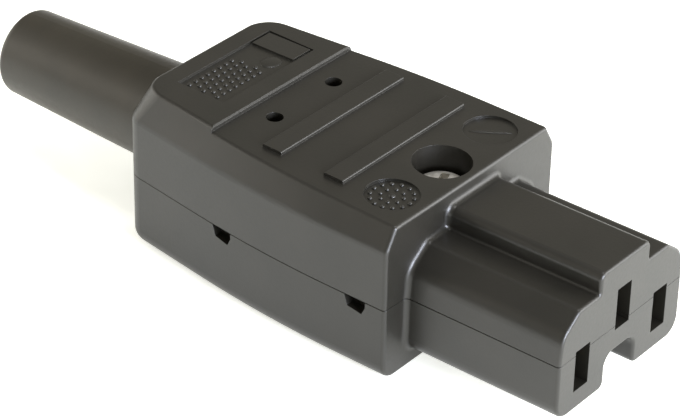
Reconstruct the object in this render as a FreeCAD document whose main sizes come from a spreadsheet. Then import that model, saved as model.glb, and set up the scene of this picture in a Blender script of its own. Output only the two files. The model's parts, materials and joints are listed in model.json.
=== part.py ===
import FreeCAD, Part

import math
import os

import Sketcher

# Rewireable appliance connector: two moulded half shells with a keyed socket nose, a rubber
# bend sleeve, three formed contacts with screw terminals, and a cord clamp.
# Frame: +X towards the nose, +Z up, origin under the middle of the whole part, millimetres.

# Driving sizes: alias, value, meaning. Heights are measured from the parting plane,
# and a size ending in _back is measured backwards from the nose face.
SIZES = (
    ("nose_length", 19.5, "nose, from the body front to the nose face"),
    ("body_length", 38.9, "body, front face to back face"),
    ("sleeve_reach", 26.4, "bend sleeve, from the body back to its tip"),
    ("lower_height", 9.0, "resting face up to the parting plane"),
    ("parting_gap", 0.04, "gap between the two shells"),
    ("parting_bevel", 0.05, "bevel along both sides of the parting line"),
    ("wall", 2.0, "shell wall"),
    ("body_half_width", 14.65, "body half width at the front"),
    ("rear_half_width", 11.57, "body half width at the back face"),
    ("bend_back", 16.9, "behind the body front, where the sides begin to draw in"),
    ("bend_round", 150.0, "radius of that long bend in the sides"),
    ("back_corner", 2.4, "rounding of the two rear corners"),
    ("bottom_round", 2.0, "rounding along the bottom of the lower shell"),
    ("heel_round", 3.6, "larger rounding below the rear wall"),
    ("heel_clear", 0.02, "how far the heel's rounding starts outside the faces that it joins"),
    ("chamfer_height", 7.1, "where the sloping upper sides begin"),
    ("crown_height", 10.95, "height at which the crown outline is drawn"),
    ("crown_half_width", 12.4, "crown outline half width at the front"),
    ("crown_rear_half_width", 10.3, "crown outline half width at the back"),
    ("crown_setback", 1.4, "crown outline ahead of the back face"),
    ("crown_corner", 3.5, "rounding of the crown outline's rear corners"),
    ("top_height", 9.64, "top face at the body front"),
    ("top_slope", 0.02, "rise of the top face for each millimetre backwards"),
    ("pad_start", 26.07, "behind the body front, where the raised rear pad begins"),
    ("pad_rise", 0.55, "rear pad above the top face"),
    ("bar_rise", 0.4, "grip bars above the top face"),
    ("bar_round", 0.18, "rounding of the grip bars' top edges, and bevel of the rear pad's front edge"),
    ("bar_width", 2.58, "grip bar, along X"),
    ("bar_half_length", 10.44, "grip bar, half its length across"),
    ("front_bar", 9.19, "behind the body front, front edge of the first grip bar"),
    ("rear_bar", 17.54, "behind the body front, front edge of the second grip bar"),
    ("ceiling", 7.75, "inside of the upper shell's roof"),
    ("floor", 7.0, "inside of the lower shell, below the parting plane"),
    ("nose_half_width", 11.1, "nose half width"),
    ("nose_side_height", 3.3, "where the bevels would meet the nose's sides"),
    ("nose_side_lean", 0.3, "how far the nose's upper sides lean inwards"),
    ("nose_round", 2.5, "rounding between the bevels and the sides"),
    ("shoulder_half_width", 7.95, "half width of the nose shoulders"),
    ("shoulder_height", 5.45, "nose shoulders"),
    ("shoulder_round", 1.0, "rounding between the shoulders and their bevels"),
    ("key_half_width", 4.45, "half width of the raised key"),
    ("key_height", 7.85, "top of the raised key"),
    ("key_round", 0.9, "rounding of the key's top edges"),
    ("key_foot", 0.3, "rounding at the foot of the key"),
    ("nose_depth", 6.95, "bottom of the nose, below the parting plane"),
    ("nose_corner", 2.1, "rounding of the nose's lower corners"),
    ("notch_half_width", 2.6, "half width of the notch under the nose"),
    ("notch_roof", 3.1, "roof of the notch, below the parting plane"),
    ("notch_corner", 1.4, "rounding of the notch's roof"),
    ("notch_mouth", 0.9, "rounding of the notch's lower edges"),
    ("nose_wall", 2.4, "wall behind the nose face"),
    ("slot_spacing", 14.0, "between the two outer slots"),
    ("slot_shift", 2.0, "slot centres above or below the parting plane"),
    ("slot_width", 2.5, "slot, across"),
    ("slot_height", 5.0, "slot, upright"),
    ("chamber_half_width", 2.1, "contact chamber, half width"),
    ("chamber_below", 3.1, "chamber floor below the slot centre"),
    ("chamber_above", 2.8, "chamber roof above the slot centre"),
    ("chamber_back", 18.5, "end of the roofed part of the chambers"),
    ("case_screw_back", 23.71, "case screw axis"),
    ("counterbore_radius", 3.3, "counterbore of the case screw"),
    ("counterbore_floor", 5.3, "floor of the counterbore"),
    ("boss_radius", 4.1, "boss round the counterbore"),
    ("boss_end", 0.3, "lower end of that boss"),
    ("screw_radius", 1.5, "case screw and terminal screws, M3"),
    ("screw_hole", 1.7, "clearance hole for the case screw"),
    ("post_radius", 4.0, "post of the lower shell under the boss"),
    ("spigot_radius", 2.3, "spigot on that post"),
    ("spigot_end", 0.1, "top of the spigot, below the parting plane"),
    ("nut_width", 5.5, "case nut across its flats"),
    ("nut_thickness", 2.4, "case nut"),
    ("nut_inset", 0.25, "case nut above the resting face"),
    ("nut_play", 0.1, "play round the nut in its pocket"),
    ("thread_play", 0.05, "play between screws and threaded holes"),
    ("peephole_back", 42.55, "cord clamp and the two small holes above it"),
    ("peephole_spacing", 9.98, "between the two small holes"),
    ("peephole_radius", 0.98, "small holes in the roof"),
    ("disc_spacing", 16.98, "between the two round recesses on top"),
    ("disc_back", 23.72, "round recesses on top"),
    ("disc_radius", 3.0, "round recesses on top"),
    ("recess_depth", 0.25, "shallow recesses on top"),
    ("label_front_back", 48.0, "front edge of the label recess"),
    ("label_rear_back", 54.5, "rear edge of the label recess"),
    ("label_near", 7.2, "label recess, reach towards -Y"),
    ("label_far", 8.2, "label recess, reach towards +Y"),
    ("plate_width", 3.0, "blank plate in the label recess, across"),
    ("plate_margin", 0.3, "groove round the blank plate"),
    ("window_front_back", 23.51, "front pair of side windows"),
    ("window_rear_back", 42.63, "rear pair of side windows"),
    ("window_half_width", 1.4, "side windows"),
    ("window_depth", 1.58, "side windows, below the parting plane"),
    ("window_corner", 0.45, "bevels of the windows' lower corners"),
    ("window_slant", 0.3, "rise of a window's lower edge towards the rear"),
    ("window_cut", 1.3, "side windows, into the wall"),
    ("dowel_back", 34.5, "locating dowels"),
    ("dowel_spacing", 21.8, "between the two dowels"),
    ("dowel_radius", 0.75, "locating dowels"),
    ("dowel_length", 2.0, "dowels below the parting plane"),
    ("dowel_post", 1.6, "posts of the dowels"),
    ("sleeve_axis", 0.65, "axis of the bend sleeve"),
    ("sleeve_root_radius", 6.05, "sleeve outside, at the body"),
    ("sleeve_tip_radius", 5.2, "sleeve outside, at its tip"),
    ("sleeve_bore", 4.1, "cord bore of the sleeve"),
    ("sleeve_neck", 5.6, "neck of the sleeve in the rear wall"),
    ("sleeve_flange", 7.0, "flange of the sleeve inside the shells"),
    ("flange_length", 2.2, "thickness of that flange"),
    ("sleeve_play", 0.15, "play round the sleeve's neck and flange"),
    ("tip_round", 0.8, "rounding of the sleeve's tip"),
    ("bulkhead", 1.3, "bulkheads that hold the flange"),
    ("bulkhead_hole", 4.9, "cord opening of the bulkheads"),
    ("sheet", 0.7, "contact metal"),
    ("jaw_start_back", 3.0, "mouth of the contact jaws"),
    ("jaw_pinch_back", 5.6, "narrowest place of the jaws"),
    ("jaw_end_back", 17.5, "rear end of the jaws"),
    ("jaw_half_height", 2.3, "contact jaws, half their height"),
    ("jaw_mouth_gap", 1.15, "half the jaw gap at the mouth"),
    ("jaw_pinch_gap", 0.75, "half the jaw gap at the pinch"),
    ("jaw_rear_gap", 0.95, "half the jaw gap at the rear"),
    ("web_start_back", 9.0, "front end of the web under the jaws"),
    ("tail_half_width", 2.8, "terminal end of a contact, half width"),
    ("outer_tail_start", 22.0, "outer contacts, where the terminal end begins"),
    ("outer_tail_end", 31.3, "outer contacts, rear end"),
    ("outer_terminal_back", 27.8, "outer terminal screws"),
    ("outer_terminal_side", 7.7, "outer terminal screws from the middle"),
    ("ring_half_width", 4.2, "earth contact where it goes round the post"),
    ("ring_start", 20.1, "earth contact, front of that ring"),
    ("ring_end", 28.2, "earth contact, rear of that ring"),
    ("ring_hole", 2.55, "hole of the ring"),
    ("earth_tail_end", 38.4, "earth contact, rear end"),
    ("earth_terminal_back", 34.9, "earth terminal screw"),
    ("collar_radius", 2.1, "threaded collar under a terminal"),
    ("collar_length", 1.0, "threaded collar under a terminal"),
    ("collar_hole", 2.4, "room for the collar in its pedestal"),
    ("spring_sheet", 0.3, "steel of the contact springs"),
    ("spring_front_back", 7.0, "contact spring, front end"),
    ("spring_rear_back", 14.0, "contact spring, rear end"),
    ("spring_play", 0.03, "spring legs outside the jaws"),
    ("plate_half", 2.7, "wire plate, half its length along X"),
    ("plate_sheet", 0.8, "wire plate"),
    ("plate_lip", 0.6, "turned-down lips of the wire plate"),
    ("lip_play", 0.2, "lips beside the terminal"),
    ("lip_drop", 1.0, "lips below the plate"),
    ("rest_play", 0.05, "wire plate above its terminal"),
    ("terminal_head_radius", 2.6, "terminal screw head"),
    ("terminal_head", 2.0, "terminal screw head, height"),
    ("terminal_length", 3.5, "terminal screw under its head"),
    ("case_head_radius", 2.8, "case screw head"),
    ("case_head", 2.0, "case screw head, height"),
    ("case_length", 13.9, "case screw under its head"),
    ("cross_width", 0.9, "cross recess of the case screw"),
    ("cross_length", 3.4, "cross recess of the case screw"),
    ("cross_depth", 1.2, "cross recess of the case screw"),
    ("slot_cut", 0.8, "screwdriver slots, width and depth"),
    ("cradle_top", 3.0, "cord cradle, below the parting plane"),
    ("cradle_half_length", 2.6, "cord cradle, along X"),
    ("cradle_half_width", 8.2, "cord cradle, across"),
    ("ridge", 0.5, "gripping ridges, height"),
    ("ridge_half_width", 0.45, "gripping ridges"),
    ("ridge_spacing", 2.6, "between the two lower ridges"),
    ("cord_half_width", 3.2, "gripping ridges, half their length"),
    ("clamp_underside", 2.2, "clamp bar above the parting plane"),
    ("clamp_thickness", 2.2, "clamp bar"),
    ("clamp_half_length", 2.4, "clamp bar, along X"),
    ("clamp_half_width", 7.8, "clamp bar, across"),
    ("clamp_screw_radius", 1.45, "clamp screws"),
    ("clamp_head_radius", 2.5, "clamp screw heads"),
    ("clamp_head", 1.8, "clamp screw heads, height"),
    ("clamp_length", 10.6, "clamp screws under their heads"),
    ("pilot_end", 7.4, "screw pilot holes, below the parting plane"),
    ("front_round", 0.45, "rounding round the body's front face"),
    ("base_fillet", 0.65, "fillet round the foot of the nose"),
    ("face_round", 0.4, "rounding round the nose face"),
    ("crown_round", 0.5, "rounding of the top edges"),
    ("side_round", 1.4, "soft edge under the sloping upper sides"),
)

UP = FreeCAD.Vector(0, 0, 1)
REACH = 40.0  # longer than any cut that has to go right through
OVERLAP = 1.0  # how far joined features reach into each other
TOUCH = 1e-4  # two coordinates nearer than this are the same
NEARLY_LEVEL = 0.99  # a face that looks up at least this much is a roof
STEEP = 0.05  # a face that looks up at most this much is an upright wall


class Size:
    """A number together with the sheet expression that it comes from."""

    def __init__(self, text, value):
        self.text = text
        self.value = value

    def __add__(self, other):
        other = as_size(other)
        return Size("(%s + %s)" % (self.text, other.text), self.value + other.value)

    def __sub__(self, other):
        other = as_size(other)
        return Size("(%s - %s)" % (self.text, other.text), self.value - other.value)

    def __mul__(self, other):
        other = as_size(other)
        return Size("(%s * %s)" % (self.text, other.text), self.value * other.value)

    def __truediv__(self, other):
        other = as_size(other)
        return Size("(%s / %s)" % (self.text, other.text), self.value / other.value)

    def __neg__(self):
        return self * -1.0


def as_size(number):
    if isinstance(number, Size):
        return number
    return Size("(%r)" % float(number), float(number))


ZERO = as_size(0.0)


class Dims:
    """The driving sizes, written to a spreadsheet and read back by name."""

    def __init__(self, doc):
        sheet = doc.addObject("Spreadsheet::Sheet", "dims")
        self.sizes = {}
        for row, (alias, value, meaning) in enumerate(SIZES, start=1):
            sheet.set("A%d" % row, alias)
            sheet.set("B%d" % row, repr(value))
            sheet.setAlias("B%d" % row, alias)
            sheet.set("C%d" % row, meaning)
            self.sizes[alias] = Size("dims." + alias, value)

    def __getattr__(self, alias):
        return self.sizes[alias]


def bind(thing, path, size):
    thing.setExpression(path, as_size(size).text)


# Sketching


def new_body(doc, label, place=(ZERO, ZERO, ZERO)):
    body = doc.addObject("PartDesign::Body", label)
    body.Label = label
    for letter, size in zip("xyz", place):
        bind(body, "Placement.Base." + letter, size)
    return body


def new_sketch(body, name, plane, height):
    """A sketch parallel to an origin plane. Its normal is +Z, -Y or +X for XY, XZ and YZ."""
    sketch = body.newObject("Sketcher::SketchObject", name)
    planes = [f for f in body.Origin.OriginFeatures if f.Role == plane + "_Plane"]
    sketch.AttachmentSupport = [(planes[0], "")]
    sketch.MapMode = "FlatFace"
    bind(sketch, "AttachmentOffset.Base.z", height)
    return sketch


def constrain(sketch, kind, *where, size=None):
    if size is None:
        sketch.addConstraint(Sketcher.Constraint(kind, *where))
        return
    index = sketch.addConstraint(Sketcher.Constraint(kind, *where, size.value))
    sketch.setExpression("Constraints[%d]" % index, size.text)


def pin_point(sketch, geometry, position, x, y):
    """Fix a point of the sketch at sheet-driven coordinates."""
    for kind, axis, size in (("DistanceX", -2, as_size(x)), ("DistanceY", -1, as_size(y))):
        if size is ZERO:
            constrain(sketch, "PointOnObject", geometry, position, axis)
        else:
            constrain(sketch, kind, -1, 1, geometry, position, size=size)


def draw_circle(sketch, x, y, radius):
    middle = FreeCAD.Vector(as_size(x).value, as_size(y).value, 0)
    circle = sketch.addGeometry(Part.Circle(middle, UP, radius.value))
    constrain(sketch, "Radius", circle, size=radius)
    pin_point(sketch, circle, 3, x, y)


def draw_outline(sketch, corners):
    """A closed outline of straight sides. A corner is (x, y), or (x, y, rounding radius)."""
    count = len(corners)
    points = [FreeCAD.Vector(as_size(c[0]).value, as_size(c[1]).value, 0) for c in corners]
    arrivals = []
    departures = []
    for i, corner in enumerate(corners):
        point = points[i]
        if len(corner) < 3:
            arrivals.append(point)
            departures.append(point)
            continue
        back = (points[i - 1] - point).normalize()
        ahead = (points[(i + 1) % count] - point).normalize()
        trim = corner[2].value / math.tan(back.getAngle(ahead) / 2)
        arrivals.append(point + back * trim)
        departures.append(point + ahead * trim)
    sides = []
    for i in range(count):
        side = Part.LineSegment(departures[i], arrivals[(i + 1) % count])
        sides.append(sketch.addGeometry(side))
    for i, corner in enumerate(corners):
        before = sides[i - 1]
        after = sides[i]
        if len(corner) < 3:
            constrain(sketch, "Coincident", before, 2, after, 1)
            pin_point(sketch, after, 1, corner[0], corner[1])
        else:
            round_corner(sketch, corner, before, after, arrivals[i], departures[i])


def round_corner(sketch, corner, before, after, arrival, departure):
    x, y, radius = corner
    point = FreeCAD.Vector(as_size(x).value, as_size(y).value, 0)
    bisector = ((arrival - point) + (departure - point)).normalize()
    half_angle = (arrival - point).getAngle(departure - point) / 2
    middle = point + bisector * (radius.value / math.sin(half_angle))
    crown = middle - bisector * radius.value
    arc = sketch.addGeometry(Part.Arc(arrival, crown, departure))
    turns_left = (point - arrival).cross(departure - point).z > 0
    first, last = (1, 2) if turns_left else (2, 1)
    mark = sketch.addGeometry(Part.Point(point), True)
    constrain(sketch, "PointOnObject", mark, 1, before)
    constrain(sketch, "PointOnObject", mark, 1, after)
    pin_point(sketch, mark, 1, x, y)
    constrain(sketch, "Tangent", before, 2, arc, first)
    constrain(sketch, "Tangent", arc, last, after, 1)
    constrain(sketch, "Radius", arc, size=radius)


def draw_box(sketch, x0, x1, y0, y1):
    draw_outline(sketch, [(x0, y0), (x1, y0), (x1, y1), (x0, y1)])


def draw_plan(sketch, front, back, half_width, rear_half_width, bend, bend_round, corner):
    """The body's plan: parallel sides that bend inwards and run on to rounded rear corners."""
    side = [
        (front, half_width),
        (bend, half_width, bend_round),
        (back, rear_half_width, corner),
    ]
    draw_outline(sketch, side + [(x, -y, *rest) for x, y, *rest in reversed(side)])


# Features


def pad(body, sketch, length):
    """Material from the sketch along its normal."""
    feature = body.newObject("PartDesign::Pad", sketch.Name + "_pad")
    feature.Profile = sketch
    bind(feature, "Length", length)
    return feature


def cut(body, sketch, length):
    """A cut from the sketch along its normal."""
    feature = body.newObject("PartDesign::Pocket", sketch.Name + "_cut")
    feature.Profile = sketch
    feature.Reversed = True
    bind(feature, "Length", length)
    return feature


def pad_box(body, name, x, y, z):
    """A block between two values of x, y and z."""
    sketch = new_sketch(body, name, "XY", z[0])
    draw_box(sketch, x[0], x[1], y[0], y[1])
    return pad(body, sketch, z[1] - z[0])


def cut_box(body, name, x, y, z):
    sketch = new_sketch(body, name, "XY", z[0])
    draw_box(sketch, x[0], x[1], y[0], y[1])
    return cut(body, sketch, z[1] - z[0])


def pad_post(body, name, x, y, radius, z):
    sketch = new_sketch(body, name, "XY", z[0])
    draw_circle(sketch, x, y, radius)
    return pad(body, sketch, z[1] - z[0])


def cut_hole(body, name, x, y, radius, z):
    sketch = new_sketch(body, name, "XY", z[0])
    draw_circle(sketch, x, y, radius)
    return cut(body, sketch, z[1] - z[0])


def spin(body, name, corners):
    """A turned solid: half its section, drawn right of the upright axis."""
    sketch = new_sketch(body, name, "XZ", ZERO)
    draw_outline(sketch, corners)
    feature = body.newObject("PartDesign::Revolution", name + "_turned")
    feature.Profile = sketch
    feature.ReferenceAxis = (sketch, ["V_Axis"])


def in_plane(edge, axis, place):
    """True where the whole edge lies at one place along an axis."""
    box = edge.BoundBox
    lowest = getattr(box, axis + "Min")
    highest = getattr(box, axis + "Max")
    return abs(lowest - place) < TOUCH and abs(highest - place) < TOUCH


def face_tilts(shape, edge):
    """How far the faces beside an edge look up: 1 is level, 0 upright."""
    middle = edge.valueAt((edge.FirstParameter + edge.LastParameter) / 2)
    tilts = []
    for face in shape.ancestorsOfType(edge, Part.Face):
        u, v = face.Surface.parameter(middle)
        tilts.append(face.normalAt(u, v).z)
    return tilts if len(tilts) == 2 else [0.0, 0.0]


def soften(doc, body, base, kind, wanted, path, size):
    """Round or bevel the edges of the body's last feature that are wanted."""
    doc.recompute()
    shape = base.Shape
    names = ["Edge%d" % i for i, edge in enumerate(shape.Edges, start=1) if wanted(shape, edge)]
    feature = body.newObject("PartDesign::" + kind, base.Name + "_" + kind.lower())
    feature.Base = (base, names)
    bind(feature, path, size)
    return feature


# Places


class Layout:
    """Places that several pieces share."""

    def __init__(self, d):
        self.nose_x = (d.nose_length + d.body_length + d.sleeve_reach) / 2
        self.front_x = self.nose_x - d.nose_length
        self.back_x = self.front_x - d.body_length
        self.split_z = d.lower_height
        self.screw_x = self.nose_x - d.case_screw_back
        self.clamp_x = self.nose_x - d.peephole_back
        self.sleeve_z = self.split_z + d.sleeve_axis

    def back(self, distance):
        """X at a distance behind the nose face."""
        return self.nose_x - distance

    def up(self, height):
        """Z at a height above the parting plane."""
        return self.split_z + height

    def down(self, depth):
        """Z at a depth below the parting plane."""
        return self.split_z - depth


def slot_places(d):
    """Side and height of the three slots: the two outer ones and the earth slot."""
    outer = d.slot_spacing / 2
    return (outer, -d.slot_shift), (-outer, -d.slot_shift), (ZERO, d.slot_shift)


def draw_body_plan(sketch, d, at, inset):
    """The body's plan, drawn in by a wall thickness, or by nothing for the outside."""
    corner = d.back_corner if inset is ZERO else d.back_corner - inset / 2
    draw_plan(
        sketch,
        at.front_x - inset,
        at.back_x + inset,
        d.body_half_width - inset,
        d.rear_half_width - inset,
        at.front_x - d.bend_back,
        d.bend_round,
        corner,
    )


def cut_slots(body, d, at, low, high, prefix):
    """Socket slots and contact chambers of one shell, between two heights."""
    for index, (side, height) in enumerate(slot_places(d)):
        centre = at.split_z + height
        shapes = (
            ("slot", d.slot_width / 2, d.slot_height / 2, d.slot_height / 2, -OVERLAP, d.nose_wall + OVERLAP),
            ("chamber", d.chamber_half_width, d.chamber_below, d.chamber_above, d.nose_wall, d.chamber_back),
        )
        for kind, half, below, above, start, end in shapes:
            bottom = centre - below
            top = centre + above
            bottom = bottom if bottom.value > low.value else low
            top = top if top.value < high.value else high
            cut_box(
                body,
                "%s_%s_%d" % (prefix, kind, index),
                (at.back(as_size(end)), at.back(as_size(start))),
                (side - half, side + half),
                (bottom, top),
            )


# Upper shell


def upper_outside(body, d, at):
    bottom = at.up(d.parting_gap)
    wall = new_sketch(body, "wall_plan", "XY", bottom)
    draw_body_plan(wall, d, at, ZERO)
    pad(body, wall, d.chamfer_height - d.parting_gap)
    lower_rim = new_sketch(body, "chamfer_plan", "XY", at.up(d.chamfer_height))
    draw_body_plan(lower_rim, d, at, ZERO)
    crown = new_sketch(body, "crown_plan", "XY", at.up(d.crown_height))
    draw_plan(
        crown,
        at.front_x,
        at.back_x + d.crown_setback,
        d.crown_half_width,
        d.crown_rear_half_width,
        at.front_x - d.bend_back,
        d.bend_round,
        d.crown_corner,
    )
    slopes = body.newObject("PartDesign::AdditiveLoft", "sloping_sides")
    slopes.Profile = lower_rim
    slopes.Sections = [crown]
    slopes.Ruled = True
    trim_top(body, d, at)
    grip_bars(body, d, at)
    nose = new_sketch(body, "upper_nose", "YZ", at.front_x - OVERLAP)
    side = [
        (d.nose_half_width, d.parting_gap),
        (d.nose_half_width - d.nose_side_lean, d.nose_side_height, d.nose_round),
        (d.shoulder_half_width, d.shoulder_height, d.shoulder_round),
        (d.key_half_width, d.shoulder_height, d.key_foot),
        (d.key_half_width, d.key_height, d.key_round),
    ]
    outline = [(y, at.up(z), *rest) for y, z, *rest in side]
    outline += [(-y, at.up(z), *rest) for y, z, *rest in reversed(side)]
    draw_outline(nose, outline)
    return pad(body, nose, d.nose_length + OVERLAP)


def top_rise(d, behind):
    """Height of the top face at a distance behind the body front."""
    return d.top_height + d.top_slope * behind


def trim_top(body, d, at):
    """Cut the crown to the rising top face and the raised pad behind it."""
    trim = new_sketch(body, "top_trim", "XZ", as_size(-REACH / 2))
    past_back = d.body_length + OVERLAP
    sky = at.up(d.crown_height + REACH)
    draw_outline(
        trim,
        [
            (at.front_x + OVERLAP, at.up(top_rise(d, -OVERLAP))),
            (at.front_x + OVERLAP, sky),
            (at.front_x - past_back, sky),
            (at.front_x - past_back, at.up(top_rise(d, past_back) + d.pad_rise)),
            (at.front_x - d.pad_start, at.up(top_rise(d, d.pad_start) + d.pad_rise)),
            (at.front_x - d.pad_start, at.up(top_rise(d, d.pad_start))),
        ],
    )
    cut(body, trim, as_size(REACH))


def grip_bars(body, d, at):
    """Two low bars across the top face, which they follow."""
    for name, start in (("front_bar", d.front_bar), ("rear_bar", d.rear_bar)):
        end = start + d.bar_width
        bar = new_sketch(body, name, "XZ", -d.bar_half_length)
        draw_outline(
            bar,
            [
                (at.front_x - start, at.up(top_rise(d, start) - OVERLAP)),
                (at.front_x - start, at.up(top_rise(d, start) + d.bar_rise), d.bar_round),
                (at.front_x - end, at.up(top_rise(d, end) + d.bar_rise), d.bar_round),
                (at.front_x - end, at.up(top_rise(d, end) - OVERLAP)),
            ],
        )
        pad(body, bar, d.bar_half_length * 2)


def bevel_pad(body, d, at):
    """Bevel the front edge of the raised rear pad."""
    step = at.front_x - d.pad_start
    top = at.up(top_rise(d, d.pad_start) + d.pad_rise)
    clear = d.pad_rise / 2
    bevel = new_sketch(body, "pad_bevel", "XZ", as_size(-REACH / 2))
    draw_outline(
        bevel,
        [
            (step + clear, top - d.bar_round - clear),
            (step + clear, top + clear),
            (step - d.bar_round - clear, top + clear),
        ],
    )
    return cut(body, bevel, as_size(REACH))


def upper_inside(body, d, at):
    bottom = at.up(d.parting_gap)
    roof = at.up(d.ceiling)
    below = at.split_z - OVERLAP
    room = new_sketch(body, "upper_room", "XY", below)
    draw_body_plan(room, d, at, d.wall)
    cut(body, room, d.ceiling + OVERLAP)
    cut_slots(body, d, at, below, at.up(d.key_height), "upper")
    pad_post(body, "screw_boss", at.screw_x, ZERO, d.boss_radius, (at.up(d.boss_end), roof + OVERLAP))
    cut_hole(body, "counterbore", at.screw_x, ZERO, d.counterbore_radius,
             (at.up(d.counterbore_floor), at.up(d.crown_height)))
    cut_hole(body, "screw_hole", at.screw_x, ZERO, d.screw_hole, (below, at.up(d.crown_height)))
    bulkhead_x = at.back_x + d.wall + d.sleeve_play * 2 + d.flange_length
    pad_box(body, "upper_bulkhead", (bulkhead_x, bulkhead_x + d.bulkhead),
            (-d.body_half_width / 2, d.body_half_width / 2), (bottom, roof + OVERLAP))
    cut_arch(body, "upper_cord_way", d, at, bulkhead_x - OVERLAP, d.bulkhead + OVERLAP * 2, d.bulkhead_hole)
    cut_arch(body, "upper_neck_way", d, at, at.back_x - OVERLAP, d.wall + OVERLAP * 2,
             d.sleeve_neck + d.sleeve_play)
    for side, sign in (("left", 1), ("right", -1)):
        cut_hole(body, side + "_peephole", at.clamp_x, d.peephole_spacing / 2 * sign, d.peephole_radius,
                 (roof - OVERLAP, at.up(d.crown_height)))
        dowel_x = at.back(d.dowel_back)
        dowel_y = d.dowel_spacing / 2 * sign
        pad_post(body, side + "_dowel_post", dowel_x, dowel_y, d.dowel_post, (bottom, roof + OVERLAP))
        pad_post(body, side + "_dowel", dowel_x, dowel_y, d.dowel_radius,
                 (at.down(d.dowel_length), bottom + OVERLAP))


def cut_arch(body, name, d, at, x, length, radius):
    """A round way for the sleeve, open downwards to the parting plane."""
    way = new_sketch(body, name + "_round", "YZ", x)
    draw_circle(way, ZERO, at.sleeve_z, radius)
    cut(body, way, length)
    legs = new_sketch(body, name + "_legs", "YZ", x)
    draw_box(legs, -radius, radius, at.split_z - OVERLAP, at.sleeve_z)
    cut(body, legs, length)


def upper_marks(body, d, at):
    """Two shallow round recesses and a label recess with a blank plate, all without marks."""
    sky = at.up(d.crown_height)
    disc_z = at.up(top_rise(d, d.disc_back - d.nose_length) - d.recess_depth)
    for side, sign in (("left", 1), ("right", -1)):
        cut_hole(body, side + "_disc", at.back(d.disc_back), d.disc_spacing / 2 * sign, d.disc_radius,
                 (disc_z, sky))
    middle = (d.label_front_back + d.label_rear_back) / 2 - d.nose_length
    pad_z = at.up(top_rise(d, middle) + d.pad_rise)
    rear = at.back(d.label_rear_back)
    front = at.back(d.label_front_back)
    cut_box(body, "label", (rear, front), (-d.label_near, d.label_far), (pad_z - d.recess_depth, sky))
    plate_y = d.label_far - d.plate_margin
    pad_box(body, "blank_plate", (rear + d.plate_margin, front - d.plate_margin),
            (plate_y - d.plate_width, plate_y), (pad_z - d.recess_depth - d.wall / 4, pad_z))


def make_upper_shell(doc, d, at):
    body = new_body(doc, "upper_shell")
    outside = upper_outside(body, d, at)
    rim = at.up(d.chamfer_height).value

    def under_slope(shape, edge):
        return in_plane(edge, "Z", rim) and not in_plane(edge, "X", at.front_x.value)

    def round_roof(shape, edge):
        low, high = sorted(face_tilts(shape, edge))
        meets_slope = high > NEARLY_LEVEL and STEEP < low < NEARLY_LEVEL
        return meets_slope and not in_plane(edge, "X", at.front_x.value)

    outside = soften(doc, body, outside, "Fillet", under_slope, "Radius", d.side_round)
    soften(doc, body, outside, "Fillet", round_roof, "Radius", d.crown_round)
    outside = bevel_pad(body, d, at)
    soften_front(doc, body, outside, d, at, at.up(d.parting_gap).value)
    upper_inside(body, d, at)
    upper_marks(body, d, at)
    return body


def soften_front(doc, body, base, d, at, split):
    """Round the nose face and the body's front edges, fill the foot of the nose, bevel the parting line."""
    front = at.front_x.value

    def at_split(shape, edge):
        return in_plane(edge, "Z", split)

    def round_face(shape, edge):
        return in_plane(edge, "X", at.nose_x.value) and not at_split(shape, edge)

    def on_front(shape, edge):
        return in_plane(edge, "X", front) and not at_split(shape, edge)

    def round_foot(shape, edge):
        inside = edge.BoundBox.YMin > -d.nose_half_width.value - TOUCH
        inside = inside and edge.BoundBox.YMax < d.nose_half_width.value + TOUCH
        return on_front(shape, edge) and inside

    base = soften(doc, body, base, "Fillet", round_face, "Radius", d.face_round)
    base = soften(doc, body, base, "Fillet", round_foot, "Radius", d.base_fillet)
    base = soften(doc, body, base, "Fillet", on_front, "Radius", d.front_round)
    soften(doc, body, base, "Chamfer", at_split, "Size", d.parting_bevel)


# Lower shell


def lower_outside(doc, body, d, at):
    plan = new_sketch(body, "tray_plan", "XY", ZERO)
    draw_body_plan(plan, d, at, ZERO)
    tray = pad(body, plan, d.lower_height)

    def round_bottom(shape, edge):
        return in_plane(edge, "Z", 0.0) and not in_plane(edge, "X", at.front_x.value)

    soften(doc, body, tray, "Fillet", round_bottom, "Radius", d.bottom_round)
    round_heel(body, d, at)
    nose = new_sketch(body, "lower_nose", "YZ", at.front_x - OVERLAP)
    side = [
        (d.notch_half_width, d.notch_roof, d.notch_corner),
        (d.notch_half_width, d.nose_depth, d.notch_mouth),
        (d.nose_half_width, d.nose_depth, d.nose_corner),
        (d.nose_half_width, ZERO),
    ]
    outline = [(y, at.down(z), *rest) for y, z, *rest in side]
    outline += [(-y, at.down(z), *rest) for y, z, *rest in reversed(side)]
    draw_outline(nose, outline)
    return pad(body, nose, d.nose_length + OVERLAP)


def round_heel(body, d, at):
    """Cut the lower rear edge to a larger rounding, from side to side."""
    heel = new_sketch(body, "heel", "XZ", as_size(-REACH / 2))
    behind = at.back_x - d.heel_clear
    below = -d.heel_clear
    end = d.heel_round * 1.5
    draw_outline(
        heel,
        [
            (behind, end),
            (behind, below, d.heel_round),
            (behind + end, below),
            (behind + end, below - OVERLAP),
            (behind - OVERLAP, below - OVERLAP),
            (behind - OVERLAP, end),
        ],
    )
    return cut(body, heel, as_size(REACH))


def lower_inside(body, d, at):
    floor = at.down(d.floor)
    above = at.split_z + OVERLAP
    room = new_sketch(body, "lower_room", "XY", floor)
    draw_body_plan(room, d, at, d.wall)
    cut(body, room, d.floor + OVERLAP)
    cut_slots(body, d, at, ZERO, above, "lower")
    lower_ways(body, d, at, above)
    lower_posts(body, d, at, floor, above)
    lower_cord_end(body, d, at, floor, above)
    lower_windows(body, d, at, above)


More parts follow.
